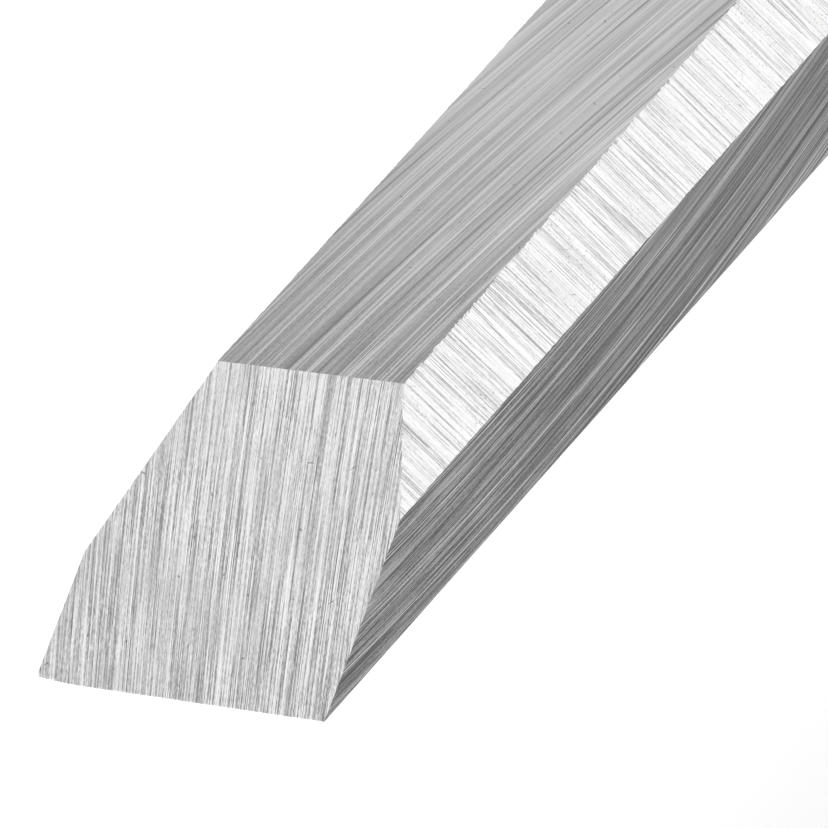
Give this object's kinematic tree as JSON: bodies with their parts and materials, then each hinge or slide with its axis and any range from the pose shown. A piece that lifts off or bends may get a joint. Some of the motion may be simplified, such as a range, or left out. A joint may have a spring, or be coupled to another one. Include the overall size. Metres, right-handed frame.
{
  "type": "wood chisel",
  "caption": "Bevel-edged wood chisel: a narrow, thick ground blade with bolster and tang, a leather washer, a steel ferrule, a tapered octagonal wooden handle and a striking hoop.",
  "frame": {"origin": "middle of the cutting edge, on the flat back of the blade", "axes": "+Y along the tool from the cutting edge to the handle, +Z from the flat back to the bevelled side, +X to the right as seen from the cutting edge"},
  "size_m": [0.0264, 0.255, 0.0264],
  "materials": {
    "blade_steel": "satin",
    "washer_leather": "matte",
    "ferrule_steel": "satin",
    "handle_wood": "satin",
    "hoop_steel": "satin"
  },
  "bodies": {
    "root": {"blade": "blade_steel", "leather_washer": "washer_leather", "ferrule": "ferrule_steel", "handle": "handle_wood", "hoop": "hoop_steel"}
  },
  "joints": []
}
